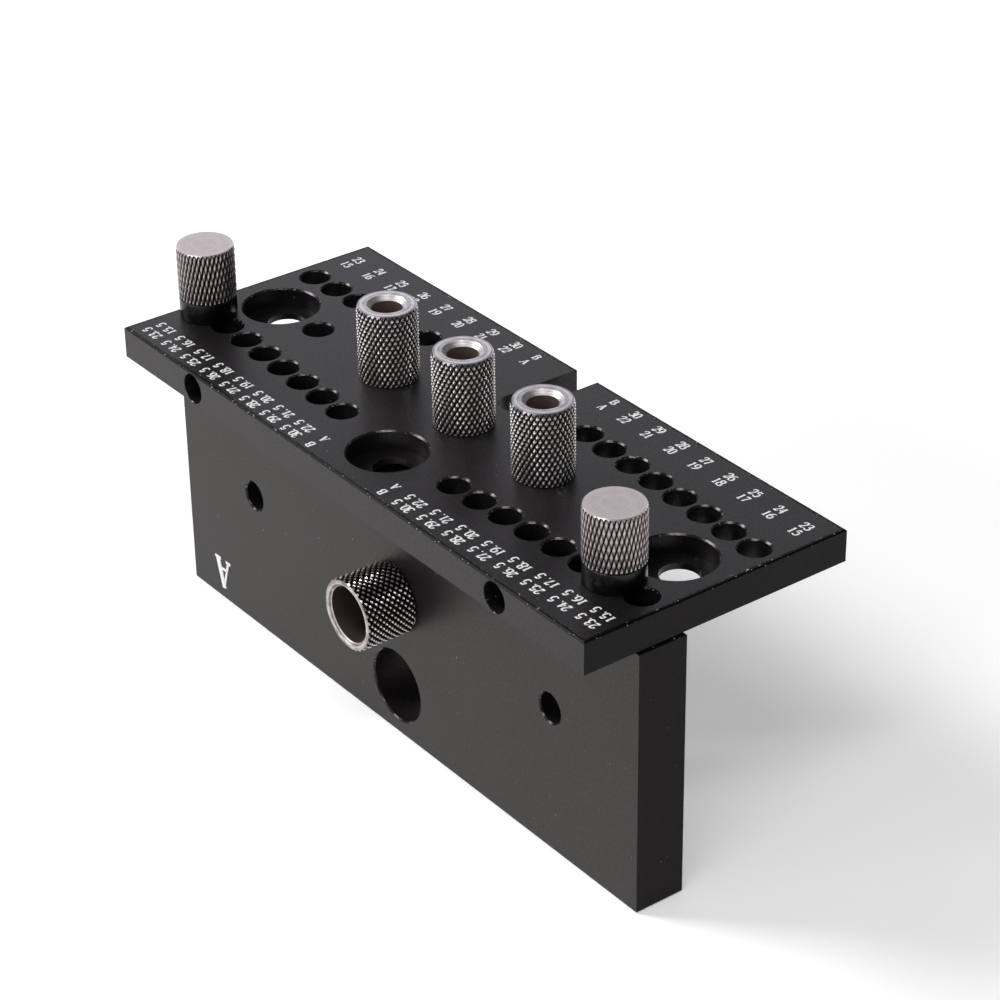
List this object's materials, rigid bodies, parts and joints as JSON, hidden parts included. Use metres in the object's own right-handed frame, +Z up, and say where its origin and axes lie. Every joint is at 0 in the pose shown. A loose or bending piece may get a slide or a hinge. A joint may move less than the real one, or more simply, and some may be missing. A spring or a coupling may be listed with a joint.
{
  "type": "dowel jig",
  "caption": "Black drilling jig: a top plate with two rows of numbered holes on an upright fence, with knurled screw-in drill bushes and thumb screws.",
  "frame": {"origin": "on the axis of the centre drill bush, at the underside of the top plate", "axes": "+X along the top plate to the right seen from the fence's front, +Y away from the fence's front, +Z up along the drill bushes"},
  "size_m": [0.1953, 0.0784, 0.1022],
  "materials": {
    "plate_black": "fine blasted and black anodised, satin",
    "collar_black": "turned and black anodised, semi-gloss",
    "bush_steel": "turned ends, sharp diamond knurl on the body",
    "screw_steel": "plain matt top, fine long diamond knurl on the body"
  },
  "bodies": {
    "jig": {"top_plate": "plate_black", "fence_plate": "plate_black"},
    "bush_left": {"drill_bush_left": "bush_steel"},
    "bush_centre": {"drill_bush_centre": "bush_steel"},
    "bush_right": {"drill_bush_right": "bush_steel"},
    "bush_cam": {"cam_bush": "bush_steel"},
    "ring_left": {"collar_left": "collar_black"},
    "ring_right": {"collar_right": "collar_black"},
    "screw_left": {"thumb_screw_left": "screw_steel"},
    "screw_right": {"thumb_screw_right": "screw_steel"}
  },
  "joints": [
    {"name": "left_bush_lift", "type": "slide", "parent": "jig", "child": "bush_left", "axis": [0, 0, 1], "range_m": [0, 0.012]},
    {"name": "centre_bush_lift", "type": "slide", "parent": "jig", "child": "bush_centre", "axis": [0, 0, 1], "range_m": [0, 0.012]},
    {"name": "right_bush_lift", "type": "slide", "parent": "jig", "child": "bush_right", "axis": [0, 0, 1], "range_m": [0, 0.012]},
    {"name": "cam_bush_pull", "type": "slide", "parent": "jig", "child": "bush_cam", "axis": [0, -1, 0], "range_m": [0, 0.017]},
    {"name": "left_ring_lift", "type": "slide", "parent": "jig", "child": "ring_left", "axis": [0, 0, 1], "range_m": [0, 0.02]},
    {"name": "left_screw_turn", "type": "hinge", "parent": "ring_left", "child": "screw_left", "pos_m": [-0.09, -0.0172, 0.009], "axis": [0, 0, 1], "range_deg": [0, 7200]},
    {"name": "right_ring_lift", "type": "slide", "parent": "jig", "child": "ring_right", "axis": [0, 0, 1], "range_m": [0, 0.02]},
    {"name": "right_screw_turn", "type": "hinge", "parent": "ring_right", "child": "screw_right", "pos_m": [0.0805, -0.0172, 0.009], "axis": [0, 0, 1], "range_deg": [0, 7200]}
  ],
  "couplings": [
    {"joint": "left_screw_turn", "follows": "left_ring_lift", "rad_per_m": 6283.2},
    {"joint": "right_screw_turn", "follows": "right_ring_lift", "rad_per_m": 6283.2}
  ]
}
